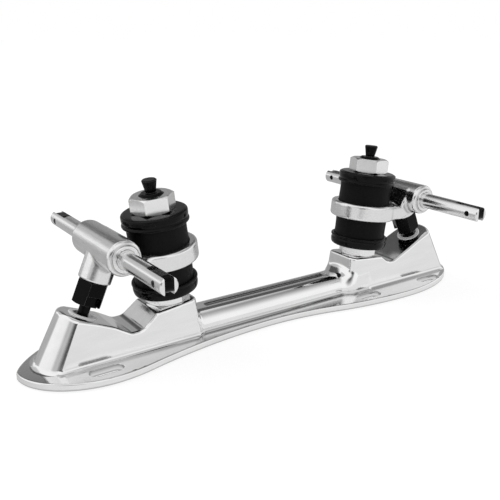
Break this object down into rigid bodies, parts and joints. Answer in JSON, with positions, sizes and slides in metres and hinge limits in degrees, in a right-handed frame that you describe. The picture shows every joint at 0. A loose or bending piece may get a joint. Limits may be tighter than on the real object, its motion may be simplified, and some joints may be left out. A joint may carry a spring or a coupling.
{
  "type": "quad roller skate plate",
  "caption": "Polished metal quad skate plate with two sprung steering trucks, leaning kingpins with black cushions, slotted boot flange and axles with wheel locks.",
  "frame": {"origin": "middle of the boot face, under the middle of the plate's length", "axes": "+X to the toe, +Y to the left as it lies, +Z from the boot face up to the trucks"},
  "size_m": [0.228, 0.103, 0.0716],
  "materials": {
    "polished_aluminium": "mirror polished casting",
    "satin_aluminium": "satin, tumbled",
    "polished_steel": "ground and polished",
    "bright_zinc": "bright plated",
    "black_steel": "black oxide, satin",
    "black_cup": "glossy black coat",
    "black_urethane": "satin black urethane",
    "grey_nylon": "plain light grey"
  },
  "bodies": {
    "plate": {"base_plate": "polished_aluminium", "rear_kingpin": "black_steel", "rear_jam_nut": "bright_zinc", "rear_lower_cup": "black_cup", "rear_lower_cushion": "black_urethane", "rear_upper_cushion": "black_urethane", "rear_pivot_cup": "grey_nylon", "front_kingpin": "black_steel", "front_jam_nut": "bright_zinc", "front_lower_cup": "black_cup", "front_lower_cushion": "black_urethane", "front_upper_cushion": "black_urethane", "front_pivot_cup": "grey_nylon"},
    "rear_truck": {"rear_hanger": "satin_aluminium", "rear_axle": "polished_steel", "rear_toggle_pins": "black_steel", "rear_pivot_pin": "black_steel", "rear_pivot_nut": "black_steel"},
    "rear_retainer": {"rear_upper_cup": "black_cup"},
    "rear_adjuster": {"rear_action_nut": "bright_zinc"},
    "rear_left_lock": {"rear_left_toggle": "black_steel"},
    "rear_right_lock": {"rear_right_toggle": "black_steel"},
    "front_truck": {"front_hanger": "satin_aluminium", "front_axle": "polished_steel", "front_toggle_pins": "black_steel", "front_pivot_pin": "black_steel", "front_pivot_nut": "black_steel"},
    "front_retainer": {"front_upper_cup": "black_cup"},
    "front_adjuster": {"front_action_nut": "bright_zinc"},
    "front_left_lock": {"front_left_toggle": "black_steel"},
    "front_right_lock": {"front_right_toggle": "black_steel"}
  },
  "joints": [
    {"name": "rear_steer", "type": "hinge", "parent": "plate", "child": "rear_truck", "pos_m": [-0.0877, 0, 0.01809], "axis": [0.856, 0, 0.5169], "range_deg": [-8, 8], "stiffness_Nm_per_rad": 25, "deforming": ["rear_lower_cushion", "rear_upper_cushion"]},
    {"name": "rear_preload", "type": "slide", "parent": "plate", "child": "rear_retainer", "axis": [-0.1219, 0, 0.9925], "range_m": [-0.00063, 0.00063], "deforming": ["rear_upper_cushion"]},
    {"name": "rear_action_nut_turn", "type": "hinge", "parent": "rear_retainer", "child": "rear_adjuster", "pos_m": [-0.053, 0, 0.0455], "axis": [-0.1219, 0, 0.9925], "range_deg": [-180, 180]},
    {"name": "rear_left_lock_turn", "type": "hinge", "parent": "rear_truck", "child": "rear_left_lock", "pos_m": [-0.0755, 0.0462, 0.0455], "axis": [1, 0, 0], "range_deg": [0, 90]},
    {"name": "rear_right_lock_turn", "type": "hinge", "parent": "rear_truck", "child": "rear_right_lock", "pos_m": [-0.0755, -0.0462, 0.0455], "axis": [-1, 0, 0], "range_deg": [0, 90]},
    {"name": "front_steer", "type": "hinge", "parent": "plate", "child": "front_truck", "pos_m": [0.09264, 0, 0.02047], "axis": [-0.8599, 0, 0.5105], "range_deg": [-8, 8], "stiffness_Nm_per_rad": 25, "deforming": ["front_lower_cushion", "front_upper_cushion"]},
    {"name": "front_preload", "type": "slide", "parent": "plate", "child": "front_retainer", "axis": [0.1219, 0, 0.9925], "range_m": [-0.00063, 0.00063], "deforming": ["front_upper_cushion"]},
    {"name": "front_action_nut_turn", "type": "hinge", "parent": "front_retainer", "child": "front_adjuster", "pos_m": [0.059, 0, 0.0455], "axis": [0.1219, 0, 0.9925], "range_deg": [-180, 180]},
    {"name": "front_left_lock_turn", "type": "hinge", "parent": "front_truck", "child": "front_left_lock", "pos_m": [0.0815, 0.0462, 0.0455], "axis": [1, 0, 0], "range_deg": [0, 90]},
    {"name": "front_right_lock_turn", "type": "hinge", "parent": "front_truck", "child": "front_right_lock", "pos_m": [0.0815, -0.0462, 0.0455], "axis": [-1, 0, 0], "range_deg": [0, 90]}
  ],
  "couplings": [
    {"joint": "rear_preload", "follows": "rear_action_nut_turn", "m_per_rad": 0.00019894},
    {"joint": "front_preload", "follows": "front_action_nut_turn", "m_per_rad": 0.00019894}
  ]
}
